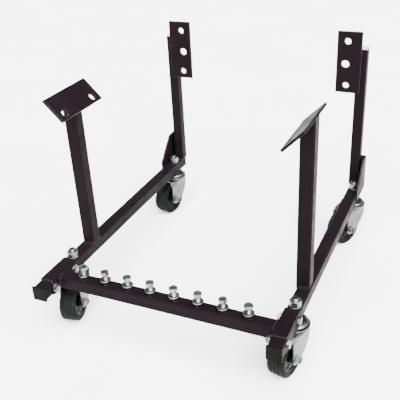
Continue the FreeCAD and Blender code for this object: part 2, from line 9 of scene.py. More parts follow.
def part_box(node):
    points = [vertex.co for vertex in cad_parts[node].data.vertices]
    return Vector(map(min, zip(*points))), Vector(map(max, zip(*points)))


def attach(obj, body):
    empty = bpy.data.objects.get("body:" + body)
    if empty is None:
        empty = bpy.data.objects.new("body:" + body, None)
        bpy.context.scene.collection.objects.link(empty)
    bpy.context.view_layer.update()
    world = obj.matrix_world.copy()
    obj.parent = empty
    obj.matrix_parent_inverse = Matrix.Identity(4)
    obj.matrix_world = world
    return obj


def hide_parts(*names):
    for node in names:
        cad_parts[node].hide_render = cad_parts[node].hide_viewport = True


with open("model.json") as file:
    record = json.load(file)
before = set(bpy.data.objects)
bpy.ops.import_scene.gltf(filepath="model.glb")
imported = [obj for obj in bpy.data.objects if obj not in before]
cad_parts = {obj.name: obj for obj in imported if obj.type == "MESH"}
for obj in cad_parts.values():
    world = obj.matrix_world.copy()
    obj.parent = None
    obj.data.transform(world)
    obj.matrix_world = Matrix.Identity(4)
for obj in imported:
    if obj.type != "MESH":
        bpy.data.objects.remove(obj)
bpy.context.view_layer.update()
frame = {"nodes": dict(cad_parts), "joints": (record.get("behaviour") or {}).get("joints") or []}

MM = 0.001
NODES = frame["nodes"]
JOINTS = {joint["name"]: joint for joint in frame["joints"]}
CORNERS = ("fl", "fr", "rl", "rr")


# ---- Materials -------------------------------------------------------------------------------

# A low index keeps glancing reflections from greying the dark finishes.
DARK_IOR = 1.08


def new_material(name):
    material = bpy.data.materials.new(name)
    material.use_nodes = True
    tree = material.node_tree
    tree.nodes.clear()
    output = tree.nodes.new("ShaderNodeOutputMaterial")
    shader = tree.nodes.new("ShaderNodeBsdfPrincipled")
    tree.links.new(shader.outputs["BSDF"], output.inputs["Surface"])
    return material, tree, shader


def make_node(tree, kind, **values):
    """A shader node; values set its properties, or its inputs where the name is an input's."""
    made = tree.nodes.new("ShaderNode" + kind)
    for key, value in values.items():
        socket = made.inputs.get(key.replace("_", " "))
        if socket is None:
            setattr(made, key, value)
        else:
            socket.default_value = value
    return made


def noise(tree, scale, detail, roughness=0.5, stretch=None):
    """Noise in the object's own space; stretch scales it along each axis."""
    source = make_node(tree, "TexCoord").outputs["Object"]
    if stretch:
        mapping = make_node(tree, "Mapping")
        mapping.inputs["Scale"].default_value = stretch
        tree.links.new(source, mapping.inputs["Vector"])
        source = mapping.outputs["Vector"]
    made = make_node(tree, "TexNoise", Scale=scale, Detail=detail, Roughness=roughness)
    tree.links.new(source, made.inputs["Vector"])
    return made.outputs["Fac"]


def ramp(tree, source, stops):
    """Colours at places between 0 and 1 of the source's value."""
    made = make_node(tree, "ValToRGB")
    elements = made.color_ramp.elements
    while len(elements) < len(stops):
        elements.new(0.5)
    for element, (position, colour) in zip(elements, stops):
        element.position = position
        element.color = colour if len(colour) == 4 else (*colour, 1)
    tree.links.new(source, made.inputs["Fac"])
    return made.outputs["Color"]


def grey(value):
    return (value, value, value, 1)


def mixed(tree, factor, first, second):
    """From first to second as factor rises; each is a colour or a socket."""
    made = make_node(tree, "Mix", data_type="RGBA")
    tree.links.new(factor, made.inputs["Factor"])
    for name, value in (("A", first), ("B", second)):
        sockets = [s for s in made.inputs if s.name == name and s.type == "RGBA"]
        if isinstance(value, tuple):
            sockets[0].default_value = value if len(value) == 4 else (*value, 1)
        else:
            tree.links.new(value, sockets[0])
    return [s for s in made.outputs if s.type == "RGBA"][0]


def edge_mask(tree, radius, low, high):
    """White along edges, where a rounded normal leaves the true normal: wear, and on the paint
    also a painted edge highlight.
    """
    bevel = make_node(tree, "Bevel", Radius=radius, samples=4)
    geometry = make_node(tree, "NewGeometry")
    dot = make_node(tree, "VectorMath", operation="DOT_PRODUCT")
    tree.links.new(bevel.outputs["Normal"], dot.inputs[0])
    tree.links.new(geometry.outputs["Normal"], dot.inputs[1])
    leaving = make_node(tree, "Math", operation="SUBTRACT")
    leaving.inputs[0].default_value = 1.0
    tree.links.new(dot.outputs["Value"], leaving.inputs[1])
    speckle = noise(tree, 90, 5.0, 0.65)
    product = make_node(tree, "Math", operation="MULTIPLY")
    tree.links.new(leaving.outputs[0], product.inputs[0])
    tree.links.new(speckle, product.inputs[1])
    return ramp(tree, product.outputs[0], ((low, grey(0)), (high, grey(1))))


def bump(tree, shader, source, strength, distance):
    made = make_node(tree, "Bump", Strength=strength, Distance=distance)
    tree.links.new(source, made.inputs["Height"])
    tree.links.new(made.outputs["Normal"], shader.inputs["Normal"])


def roughness(tree, shader, source, low, high):
    tree.links.new(ramp(tree, source, ((0.3, grey(low)), (0.7, grey(high)))),
                   shader.inputs["Roughness"])


def paint_material():
    """Dark powder coat with a plum tint, slight orange peel, and light corners that are partly
    wear and partly a painted highlight along the edges.
    """
    material, tree, shader = new_material("gloss_dark_paint")
    tone = ramp(tree, noise(tree, 14, 4.0),
                ((0.3, (0.0029, 0.0018, 0.0024)), (0.7, (0.0044, 0.0028, 0.0036))))
    # Light edges: partly worn paint, partly a painted highlight where rounded edges would catch
    # the light.
    lighter_edges = edge_mask(tree, 0.0011, 0.03, 0.16)
    tree.links.new(mixed(tree, lighter_edges, tone, (0.085, 0.070, 0.078)), shader.inputs["Base Color"])
    roughness(tree, shader, noise(tree, 35, 5.0), 0.40, 0.58)
    shader.inputs["IOR"].default_value = DARK_IOR
    shader.inputs["Specular Tint"].default_value = (1.0, 0.80, 0.88, 1)
    bump(tree, shader, noise(tree, 900, 2.0), 0.05, 0.0004)
    return material


def zinc_material(name, tone, low, high):
    """Zinc plate: a cool metal with faint cloudy patches and fine scratches."""
    material, tree, shader = new_material(name)
    cloud = noise(tree, 60, 6.0, 0.6)
    base = ramp(tree, cloud, ((0.3, (tone * 0.62, tone * 0.67, tone * 0.64)),
                              (0.7, (tone * 1.18, tone * 1.24, tone * 1.20))))
    tree.links.new(base, shader.inputs["Base Color"])
    shader.inputs["Metallic"].default_value = 1.0
    roughness(tree, shader, noise(tree, 140, 4.0), low, high)
    bump(tree, shader, noise(tree, 1200, 3.0, 0.6, (1.0, 1.0, 6.0)), 0.10, 0.0002)
    return material


def plastic_material(name, low, high, rough, grain):
    """Moulded plastic with a fine grain."""
    material, tree, shader = new_material(name)
    base = ramp(tree, noise(tree, 40, 4.0), ((0.3, low), (0.7, high)))
    tree.links.new(base, shader.inputs["Base Color"])
    roughness(tree, shader, noise(tree, 90, 3.0), rough[0], rough[1])
    shader.inputs["IOR"].default_value = DARK_IOR
    bump(tree, shader, noise(tree, grain, 3.0, 0.7), 0.12, 0.0003)
    return material


def tyre_material(name, low, high):
    """Dark grey-green rubber, dusty in patches, with fine scuffs."""
    material, tree, shader = new_material(name)
    dust = noise(tree, 45, 6.0, 0.65)
    base = ramp(tree, dust, ((0.35, low), (0.75, high)))
    lighter_edges = edge_mask(tree, 0.0009, 0.04, 0.2)
    tree.links.new(mixed(tree, lighter_edges, base, (0.014, 0.015, 0.014)), shader.inputs["Base Color"])
    shader.inputs["IOR"].default_value = DARK_IOR
    roughness(tree, shader, noise(tree, 120, 4.0), 0.36, 0.6)
    bump(tree, shader, noise(tree, 700, 4.0, 0.7), 0.25, 0.0004)
    return material


PAINT = paint_material()
ZINC = zinc_material("zinc_plate", 0.20, 0.20, 0.42)
BRIGHT = zinc_material("bright_zinc", 0.18, 0.24, 0.42)
FORK_ZINC = zinc_material("stamped_zinc", 0.095, 0.24, 0.46)
DARK_ZINC = zinc_material("dull_zinc", 0.03, 0.30, 0.50)
STEEL_BALL = zinc_material("ball_steel", 0.45, 0.08, 0.16)
CAP = plastic_material("cap_plastic", (0.0016, 0.0016, 0.0014), (0.0028, 0.0028, 0.0025),
                       (0.36, 0.54), 600)
# The plugs are black glossy plastic; their light grey is a painted reflection of the bright
# surroundings.
PLUG_PAINTED_REFLECTION = plastic_material("plug_plastic", (0.30, 0.29, 0.295), (0.40, 0.39, 0.395), (0.35, 0.5), 500)
CORE = plastic_material("wheel_core_plastic", (0.0005, 0.0005, 0.0006), (0.0010, 0.0010, 0.0011),
                        (0.10, 0.22), 400)
TYRE = tyre_material("tyre_rubber", (0.0026, 0.0030, 0.0026), (0.0080, 0.0090, 0.0080))
SIDEWALL = tyre_material("sidewall_rubber", (0.0008, 0.0009, 0.0008), (0.0018, 0.0019, 0.0018))


# ---- Mesh making -----------------------------------------------------------------------------

class Maker:
    """Collects points and faces, in millimetres, for one piece."""

    def __init__(self):
        self.points = []
        self.faces = []

    def add(self, points, faces, matrix=Matrix.Identity(4)):
        start = len(self.points)
        self.points += [matrix @ Vector(point) for point in points]
        self.faces += [[start + index for index in face] for face in faces]
        return self

    def piece(self, name, material, body, nodes, crease=32, bevel=0.0):
        """Turn what was collected into one piece that rides body and stands for the CAD nodes."""
        mesh = bpy.data.meshes.new(name)
        mesh.from_pydata([point * MM for point in self.points], [], self.faces)
        mesh.validate()
        mesh.materials.append(material)
        mesh.shade_smooth()
        mesh.set_sharp_from_angle(angle=math.radians(crease))
        made = bpy.data.objects.new(name, mesh)
        bpy.context.scene.collection.objects.link(made)
        if bevel:
            add_bevel(made, bevel)
        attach(made, body)
        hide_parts(*nodes)


def add_bevel(made, width):
    modifier = made.modifiers.new("bevel", "BEVEL")
    modifier.width = width * MM
    modifier.segments = 3
    modifier.limit_method = "ANGLE"
    modifier.angle_limit = math.radians(35)
    modifier.harden_normals = True


def grid_faces(rows, columns, closed=False):
    """Quads over rings of points stored row by row; closed joins the last row to the first."""
    faces = []
    for row in range(rows if closed else rows - 1):
        below = (row + 1) % rows
        for column in range(columns):
            beside = (column + 1) % columns
            faces.append((row * columns + column, row * columns + beside,
                          below * columns + beside, below * columns + column))
    return faces


def end_faces(rows, columns):
    """The two faces that close the first and the last row of a grid."""
    last = (rows - 1) * columns
    return [tuple(reversed(range(columns))), tuple(range(last, last + columns))]


def lathe(profile, segments, closed=False):
    """Points and faces of (radius, height) pairs turned about Z; closed joins last to first."""
    points = []
    for radius, height in profile:
        for step in range(segments):
            angle = math.tau * step / segments
            points.append((radius * math.cos(angle), radius * math.sin(angle), height))
    faces = [tuple(reversed(face)) for face in grid_faces(len(profile), segments, closed)]
    if not closed:
        faces += end_faces(len(profile), segments)
    return points, faces


def rounded(corners, size, steps=3):
    """A closed outline with each corner cut by a small arc."""
    outline = []
    count = len(corners)
    for index in range(count):
        before = Vector(corners[index - 1])
        here = Vector(corners[index])
        after = Vector(corners[(index + 1) % count])
        reach = min(size, (before - here).length / 2.2, (after - here).length / 2.2)
        start = here + (before - here).normalized() * reach
        end = here + (after - here).normalized() * reach
        for step in range(steps + 1):
            t = step / steps
            point = start * (1 - t) ** 2 + here * 2 * t * (1 - t) + end * t ** 2
            outline.append(tuple(point))
    return outline


def ring_part(outer, inner, low, high, size, segments=72):
    """A flat ring with edges rounded to size."""
    return lathe(rounded([(inner, low), (outer, low), (outer, high), (inner, high)], size),
                 segments, True)


def hexagon_radius(angle, across_flats):
    """Distance from the middle of a hexagon to its edge in one direction."""
    sector = (angle + math.pi / 6) % (math.pi / 3) - math.pi / 6
    return across_flats / 2 / math.cos(sector)


def hex_part(across_flats, low, high, hole=0.0, chamfer=(True, True)):
    """A hexagon with the curved corner chamfers of a real nut or bolt head."""
    steps = 72
    inner = across_flats / 2 * 0.93
    slope = 0.55
    lead_in = 0.7
    rings = []

    def ring(radius_of, height_of):
        row = []
        for step in range(steps):
            angle = math.tau * step / steps
            radius = radius_of(angle)
            row.append((radius * math.cos(angle), radius * math.sin(angle), height_of(radius)))
        rings.append(row)

    def full(angle):
        return hexagon_radius(angle, across_flats)

    bottom = (lambda r: low + (r - inner) * slope) if chamfer[0] else (lambda r: low)
    top = (lambda r: high - (r - inner) * slope) if chamfer[1] else (lambda r: high)
    if hole:
        ring(lambda a: hole, lambda r: low + lead_in)
        ring(lambda a: hole + lead_in, lambda r: low)
    ring(lambda a: inner, lambda r: low)
    ring(full, bottom)
    ring(full, top)
    ring(lambda a: inner, lambda r: high)
    if hole:
        ring(lambda a: hole + lead_in, lambda r: high)
        ring(lambda a: hole, lambda r: high - lead_in)
    points = [point for row in rings for point in row]
    faces = grid_faces(len(rings), steps, bool(hole))
    if not hole:
        faces += end_faces(len(rings), steps)
    return points, faces


def thread_part(radius, low, high, pitch):
    """A threaded rod: a helical ridge, with pointed-off ends."""
    depth = pitch * 0.55
    chamfer = 0.9
    steps = 36
    rows = max(4, int((high - low) / pitch * 6))
    points = []
    for row in range(rows + 1):
        height = low + (high - low) * row / rows
        cut = max(0.0, chamfer - (high - height), chamfer - (height - low))
        for step in range(steps):
            phase = (height / pitch - step / steps) % 1.0
            ridge = 1 - abs(phase * 2 - 1)
            r = min(radius - depth * (1 - min(1.0, ridge * 1.25)), radius - cut * 0.9)
            angle = math.tau * step / steps
            points.append((r * math.cos(angle), r * math.sin(angle), height))
    return points, grid_faces(rows + 1, steps) + end_faces(rows + 1, steps)


def split_ring_part(outer, inner, low, high):
    """A split lock washer: a ring cut through, its ends sprung a little apart."""
    gap = 16
    spring = 0.35
    thickness = high - low - spring
    section = rounded([(inner, 0), (outer, 0), (outer, thickness), (inner, thickness)], 0.3)
    steps = 60
    points = []
    for step in range(steps + 1):
        t = step / steps
        angle = math.radians(gap / 2 + (360 - gap) * t)
        for radius, height in section:
            points.append((radius * math.cos(angle), radius * math.sin(angle),
                           low + height + spring * t))
    count = len(section)
    faces = grid_faces(steps + 1, count) + end_faces(steps + 1, count)
    return points, [tuple(reversed(face)) for face in faces]


def placed(x, y, z):
    return Matrix.Translation((x, y, z))


def turned(degrees, axis="Z"):
    return Matrix.Rotation(math.radians(degrees), 4, axis)


def box_mm(name):
    """Lowest and highest corner of a CAD node, in millimetres."""
    low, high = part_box(name)
    return Vector(low) / MM, Vector(high) / MM


# ---- The CAD shapes keep their form and get a finish -----------------------------------------

def finish_node(name, material, bevel=0.0):
    """Give a CAD node its material, and beveled edges where a width is given."""
    made = NODES[name]
    made.data.materials.clear()
    made.data.materials.append(material)
    if bevel:
        add_bevel(made, bevel)


for name in NODES:
    if name.endswith("_end_caps"):
        finish_node(name, CAP, 1.2)
    elif name.endswith("_upright_plug"):
        finish_node(name, PLUG_PAINTED_REFLECTION, 0.8)
    elif name.endswith("_tyre"):
        finish_node(name, TYRE)
    elif name.endswith("_wheel_core"):
        finish_node(name, CORE)
    elif name.endswith("_race_balls"):
        finish_node(name, STEEL_BALL)
    elif name.endswith(("_plate", "_gusset")):
        finish_node(name, PAINT, 0.7)
    elif name.endswith(("_rail", "_sleeve", "_upright", "_crossbeam")):
        finish_node(name, PAINT, 0.5)
    elif name.endswith(("_beads", "beam_nuts")):
        finish_node(name, PAINT)
    else:
        finish_node(name, ZINC)


# ---- Storage bolts on the cross beam ---------------------------------------------------------

BEAM_LOW, BEAM_HIGH = box_mm("front_crossbeam")
RAIL_TOP = BEAM_HIGH.z
BEAM_Y = (BEAM_LOW.y + BEAM_HIGH.y) / 2
STORAGE_PITCH = 46.2
STORAGE_WASHER_RADIUS = 10.3
STORAGE_TURNS = (12.0, 38.0, 5.0, 24.0, 47.0, 15.0, 31.0, 52.0)
STORAGE_NUT_TOP = RAIL_TOP + 8.3
WASHER_TOP = STORAGE_NUT_TOP + 1.65
# The bolts stand in their nuts with a stretch of bare thread below the heads.
HEAD_BOTTOM = WASHER_TOP + 10.4
HEAD_TOP = HEAD_BOTTOM + 6.0
BOLT_END = box_mm("storage_bolts")[0].z
# Storage and axle bolts share one size of hexagon, thread and nut.
BOLT_HEX = 14.3
BOLT_THREAD = 4.75
BOLT_PITCH = 1.6
NUT_HOLE = 4.8
# Thickness of the round bearing face below a bolt head.
BEARING = 0.6


def make_storage_bolts():
    nuts, washers, bolts = Maker(), Maker(), Maker()
    middle = (len(STORAGE_TURNS) - 1) / 2
    bearing = rounded([(0.0, HEAD_BOTTOM), (6.8, HEAD_BOTTOM), (6.8, HEAD_BOTTOM + BEARING),
                       (0.0, HEAD_BOTTOM + BEARING)], 0.15)
    for index, degrees in enumerate(STORAGE_TURNS):
        at = placed((index - middle) * STORAGE_PITCH, BEAM_Y, 0)
        nuts.add(*hex_part(BOLT_HEX, RAIL_TOP, STORAGE_NUT_TOP, NUT_HOLE, (False, True)),
                 at @ turned(degrees / 2))
        washers.add(*ring_part(STORAGE_WASHER_RADIUS, 5.05, STORAGE_NUT_TOP, WASHER_TOP, 0.5),
                    at)
        bolts.add(*hex_part(BOLT_HEX, HEAD_BOTTOM + 0.5, HEAD_TOP, 0.0, (False, True)),
                  at @ turned(degrees))
        bolts.add(*lathe(bearing, 48), at)
        bolts.add(*thread_part(BOLT_THREAD, BOLT_END, HEAD_BOTTOM + 0.2, BOLT_PITCH),
                  at @ turned(degrees * 3))
    nuts.piece("crossbeam_weld_nuts", PAINT, "frame", ["crossbeam_nuts"])
    washers.piece("storage_bolt_washers", BRIGHT, "frame", ["storage_washers"])
    bolts.piece("storage_hex_bolts", BRIGHT, "frame", ["storage_bolts"])


# ---- Cross bolts through sleeves and rails ---------------------------------------------------

CROSS_WASHER_RADIUS = 8.5
CROSS_LOW, CROSS_HIGH = box_mm("sleeve_cross_washers")
CROSS_ROWS = (CROSS_LOW.y + CROSS_WASHER_RADIUS, CROSS_HIGH.y - CROSS_WASHER_RADIUS)
CROSS_Z = (BEAM_LOW.z + BEAM_HIGH.z) / 2
CROSS_HEX = 13.0
CROSS_THREAD = 4.0
CROSS_PITCH = 1.25
CROSS_HEAD = 5.0
CROSS_WASHER = 1.5
CROSS_NUT = 5.2
# Distances from the stand's middle to the outer side of a rail and the inner side of a sleeve.
CROSS_OUTER = box_mm("right_rail")[1].x
CROSS_INNER = box_mm("right_sleeve")[0].x


def make_cross_bolts():
    """Heads on the outer side; washer, nut and thread end on the inner side."""
    bolts, washers, nuts = Maker(), Maker(), Maker()
    bearing = rounded([(0.0, CROSS_OUTER), (6.9, CROSS_OUTER), (6.9, CROSS_OUTER + BEARING),
                       (0.0, CROSS_OUTER + BEARING)], 0.2)
    nut_top = CROSS_INNER - CROSS_WASHER
    nut_end = nut_top - CROSS_NUT
    for side in (-1, 1):
        for index, y in enumerate(CROSS_ROWS):
            # Its own Z points outward from the stand.
            at = placed(0, y, CROSS_Z) @ turned(90 * side, "Y")
            bolts.add(*hex_part(CROSS_HEX, CROSS_OUTER + 0.5, CROSS_OUTER + CROSS_HEAD, 0.0,
                                (False, True)), at @ turned(17 + 31 * index + 8 * side))
            bolts.add(*lathe(bearing, 48), at)
            bolts.add(*thread_part(CROSS_THREAD, nut_end - 2.0, CROSS_OUTER + 0.3, CROSS_PITCH),
                      at)
            washers.add(*ring_part(CROSS_WASHER_RADIUS, 4.2, nut_top, CROSS_INNER, 0.4, 48), at)
            nuts.add(*hex_part(CROSS_HEX, nut_end, nut_top, 4.05), at @ turned(40 * index))
    bolts.piece("sleeve_cross_hex_bolts", ZINC, "frame", ["sleeve_cross_bolts"])
    washers.piece("sleeve_cross_flat_washers", ZINC, "frame", ["sleeve_cross_washers"])
    nuts.piece("sleeve_cross_hex_nuts", BRIGHT, "frame", ["sleeve_cross_nuts"])


# ---- Casters ---------------------------------------------------------------------------------

TUBE = 25.4
RAIL_UNDER = RAIL_TOP - TUBE
WHEEL_RADIUS = 38.1
HALF_WIDTH = 15.875
RIM_RADIUS = 28.0
TRAIL = 31.0
STEM_RADIUS = 6.35
STEM_PITCH = 1.95
FORK_STEEL = 2.5
FORK_OUTER = 22.0
CROWN_RADIUS = 27.0
COLLAR_UNDER = RAIL_UNDER - 3.4
CROWN_UNDER = COLLAR_UNDER - 12.1
CROWN_TOP = COLLAR_UNDER - 9.1
RACE_TOP = COLLAR_UNDER - 4.0


def stem_foot(corner):
    """The place on the floor below a caster's stem."""
    swivel = Vector(JOINTS[corner + "_swivel"]["pos_m"]) / MM
    return placed(swivel.x, swivel.y, 0)


def corner_frame(corner):
    """Stem axis on the floor, turned to where the fork rests: its wheel trails along minus Y."""
    axle = JOINTS[corner + "_wheel_spin"]["axis"]
    return stem_foot(corner) @ Matrix.Rotation(math.atan2(axle[1], axle[0]), 4, "Z")


def axle_frame(corner):
    """The middle of a wheel; its own Z runs along the axle."""
    return corner_frame(corner) @ placed(0, -TRAIL, WHEEL_RADIUS) @ turned(90, "Y")


def make_stem(corner):
    """Kingpin head, upper race and collar as one turned outline, with the threaded stem on top."""
    at = corner_frame(corner)
    low = CROWN_UNDER - 4
    profile = [(0.0, low + 0.4), (4.0, low), (7.6, low + 0.4), (8.5, low + 1.6),
               (8.5, CROWN_UNDER - 0.4), (6.0, CROWN_UNDER - 0.4), (6.0, RACE_TOP),
               (21.6, RACE_TOP), (22.0, RACE_TOP - 0.9), (22.8, RACE_TOP - 1.2),
               (23.7, RACE_TOP - 1.0), (24.0, RACE_TOP - 0.2), (23.9, RACE_TOP + 1.2),
               (23.0, RACE_TOP + 2.2), (21.6, RACE_TOP + 2.9), (20.4, COLLAR_UNDER - 0.3),
               (19.4, COLLAR_UNDER), (12.0, COLLAR_UNDER), (12.0, RAIL_UNDER - 0.3),
               (11.7, RAIL_UNDER), (STEM_RADIUS, RAIL_UNDER)]
    maker = Maker()
    top = box_mm(corner + "_stem")[1].z
    maker.add(*lathe(profile, 96), at)
    maker.add(*thread_part(STEM_RADIUS, RAIL_UNDER - 0.5, top, STEM_PITCH), at)
    maker.piece(corner + "_threaded_stem", FORK_ZINC, "frame", [corner + "_stem"])


def extruded(outline, low, high):
    """Points and faces of an outline in X and Y, pushed up along Z."""
    count = len(outline)
    points = [(x, y, low) for x, y in outline] + [(x, y, high) for x, y in outline]
    return points, grid_faces(2, count) + end_faces(2, count)


FORK_FRONT = 15.0
FORK_BACK = -41.5
# Bend between the fork's top and its cheeks, and the rounding of a cheek's upper back corner.
SHOULDER = 3.0
BACK_CORNER = 5.5
# Height over which a cheek is pressed inward, from the crown's width to the axle's.
JOGGLE = 10.5
# Front edge of a cheek seen from the side, (y, z), from below the axle up to the crown.
CHEEK_EDGE = ((-TRAIL, 26.2), (-25.0, 27.3), (-20.0, 29.0), (-12.0, 32.6), (-5.0, 37.0),
              (2.0, 44.0), (7.0, 51.0), (11.0, 58.5), (13.6, 65.5), (FORK_FRONT, 72.0))


def crown_half_width(y):
    """Half width of the fork's top: round in front, narrowing towards the back."""
    front = CROWN_RADIUS - 0.7
    narrowing = 8.0
    if y >= 0:
        return math.sqrt(front ** 2 - y * y)
    return front - narrowing * (y / FORK_BACK) ** 1.5


def cheek_bottom(y):
    """Lower edge of a cheek: a quarter ellipse behind the axle, then along CHEEK_EDGE."""
    if y < -TRAIL:
        reach = (y + TRAIL) / (FORK_BACK + TRAIL)
        return WHEEL_RADIUS - (WHEEL_RADIUS - CHEEK_EDGE[0][1]) * math.sqrt(1 - reach * reach)
    for (y0, z0), (y1, z1) in zip(CHEEK_EDGE, CHEEK_EDGE[1:]):
        if y <= y1 + 1e-6:
            return z0 + (z1 - z0) * (y - y0) / (y1 - y0)


def cheek_top(y):
    """Top of a cheek; its back corner is rounded."""
    reach = max(0.0, (FORK_BACK + BACK_CORNER - y) / BACK_CORNER)
    return CROWN_TOP - BACK_CORNER * (1 - math.sqrt(1 - reach * reach))


def cheek_section(y):
    """Outer and inner side of a cheek as a closed outline in X and Z at one place along Y."""
    top, bottom = cheek_top(y), cheek_bottom(y)
    # The shoulder fades out towards the back corner, but never to nothing.
    shoulder = SHOULDER * (1 - (CROWN_TOP - top) / (BACK_CORNER + 0.1))
    outer = []
    arc = 5
    for step in range(arc + 1):
        angle = math.pi / 2 * step / arc
        outer.append((crown_half_width(y) - shoulder * (1 - math.sin(angle)),
                      top - shoulder * (1 - math.cos(angle))))
    start = top - shoulder
    rows = 26
    for step in range(1, rows + 1):
        z = start + (bottom - start) * step / rows
        t = min(1.0, max(0.0, (CROWN_TOP - SHOULDER - z) / JOGGLE))
        blend = t * t * (3 - 2 * t)
        outer.append((crown_half_width(y) * (1 - blend) + FORK_OUTER * blend, z))
    inner = []
    for index, (x, z) in enumerate(outer):
        x0, z0 = outer[max(0, index - 1)]
        x1, z1 = outer[min(len(outer) - 1, index + 1)]
        length = math.hypot(x1 - x0, z1 - z0)
        way_x, way_z = (z0 - z1) / length, (x1 - x0) / length
        if index == 0:
            way_x, way_z = 0.0, 1.0
        elif index == len(outer) - 1:
            way_x, way_z = 1.0, 0.0
        inner.append((x - way_x * FORK_STEEL, z - way_z * FORK_STEEL))
    return outer + inner[::-1]


def make_fork(corner):
    """Two pressed cheeks joined by a flat top, with the turned cup of the lower race on it."""
    at = corner_frame(corner)
    maker = Maker()
    # Places along Y: closer together round the back edge, then even up to the front edge.
    behind, ahead = 12, 30
    stations = [FORK_BACK + (1 - math.cos(math.pi / 2 * step / behind)) * (-TRAIL - FORK_BACK)
                for step in range(behind)]
    stations += [-TRAIL + (FORK_FRONT + TRAIL) * step / ahead for step in range(ahead + 1)]
    for side in (1, -1):
        rows = [[(side * x, y, z) for x, z in cheek_section(y)] for y in stations]
        count = len(rows[0])
        faces = grid_faces(len(rows), count) + end_faces(len(rows), count)
        if side > 0:
            faces = [tuple(reversed(face)) for face in faces]
        maker.add([point for row in rows for point in row], faces, at)
    across = [(crown_half_width(y) - SHOULDER, y) for y in stations if y >= FORK_BACK + 3.5]
    plate = across + [(-x, y) for x, y in reversed(across)]
    maker.add(*extruded(plate, CROWN_TOP - FORK_STEEL, CROWN_TOP), at)
    rim = CROWN_RADIUS
    cup = [(6.05, CROWN_UNDER), (rim - 1.4, CROWN_UNDER), (rim - 0.4, CROWN_UNDER + 0.5),
           (rim, CROWN_UNDER + 1.6), (rim, CROWN_TOP + 2.4), (rim - 0.3, CROWN_TOP + 2.9),
           (rim - 1.0, CROWN_TOP + 3.0), (rim - 1.7, CROWN_TOP + 2.9),
           (rim - 2.0, CROWN_TOP + 2.4), (rim - 2.2, CROWN_TOP + 0.8),
           (rim - 3.2, CROWN_TOP + 0.1), (6.05, CROWN_TOP + 0.1)]
    maker.add(*lathe(cup, 96, True), at)
    maker.piece(corner + "_stamped_fork", FORK_ZINC, corner + "_swivel", [corner + "_fork"],
                bevel=0.5)


AXLE_HEAD = 5.2
AXLE_NUT = 8.0
INSERT_RADIUS = 6.05


def make_axle(corner):
    """Bolt head on one cheek; thread end and lock nut with its insert on the other."""
    at = axle_frame(corner)
    head, shank, nut, insert = Maker(), Maker(), Maker(), Maker()
    head.add(*hex_part(BOLT_HEX, -FORK_OUTER - AXLE_HEAD, -FORK_OUTER - 0.4, 0.0,
                       (True, False)), at)
    head.add(*lathe([(0.0, -FORK_OUTER - BEARING), (6.9, -FORK_OUTER - BEARING),
                     (6.9, -FORK_OUTER), (0.0, -FORK_OUTER)], 48), at)
    shank.add(*thread_part(BOLT_THREAD, -FORK_OUTER - 0.3, FORK_OUTER + AXLE_NUT + 1.4,
                           BOLT_PITCH), at)
    hex_top = FORK_OUTER + 6.2
    nut.add(*hex_part(BOLT_HEX, FORK_OUTER, hex_top, NUT_HOLE), at @ turned(20))
    nut.add(*ring_part(6.5, 6.0, hex_top - 0.2, FORK_OUTER + AXLE_NUT, 0.3, 48), at)
    insert.add(*ring_part(INSERT_RADIUS, NUT_HOLE, hex_top - 0.2, FORK_OUTER + AXLE_NUT - 0.2,
                          0.2, 48), at)
    body, bolt_node, nut_node = corner + "_swivel", corner + "_axle_bolt", corner + "_axle_nut"
    head.piece(corner + "_axle_bolt_head", BRIGHT, body, [bolt_node])
    shank.piece(corner + "_axle_bolt_thread", DARK_ZINC, body, [bolt_node])
    nut.piece(corner + "_axle_lock_nut", BRIGHT, body, [nut_node])
    insert.piece(corner + "_axle_nut_insert", DARK_ZINC, body, [nut_node])


def mirrored(half):
    """A closed turned outline from its half: (radius, height) pairs on the positive side."""
    return half + [(radius, -height) for radius, height in reversed(half)]


def make_core(corner):
    """Hub, disc and rim turned in one, with low moulded ribs from the hub boss to the rim."""
    at = axle_frame(corner)
    outline = rounded(mirrored([(4.8, 19.1), (7.6, 19.1), (8.0, 18.6), (9.9, HALF_WIDTH - 0.2),
                                (11.6, 14.0), (13.4, 13.6), (20.8, 13.2), (22.4, 13.8),
                                (23.2, HALF_WIDTH - 1.3), (24.2, HALF_WIDTH - 0.9),
                                (RIM_RADIUS, HALF_WIDTH - 0.9)]), 0.7)
    maker = Maker().add(*lathe(outline, 96, True), at)
    rib = [(10.0, -0.9), (23.0, -0.7), (23.0, 0.7), (10.0, 0.9)]
    for step in range(6):
        for low, high in ((12.6, 14.2), (-14.2, -12.6)):
            maker.add(*extruded(rib, low, high), at @ turned(60 * step + 10))
    maker.piece(corner + "_moulded_core", CORE, corner + "_wheel", [corner + "_wheel_core"])


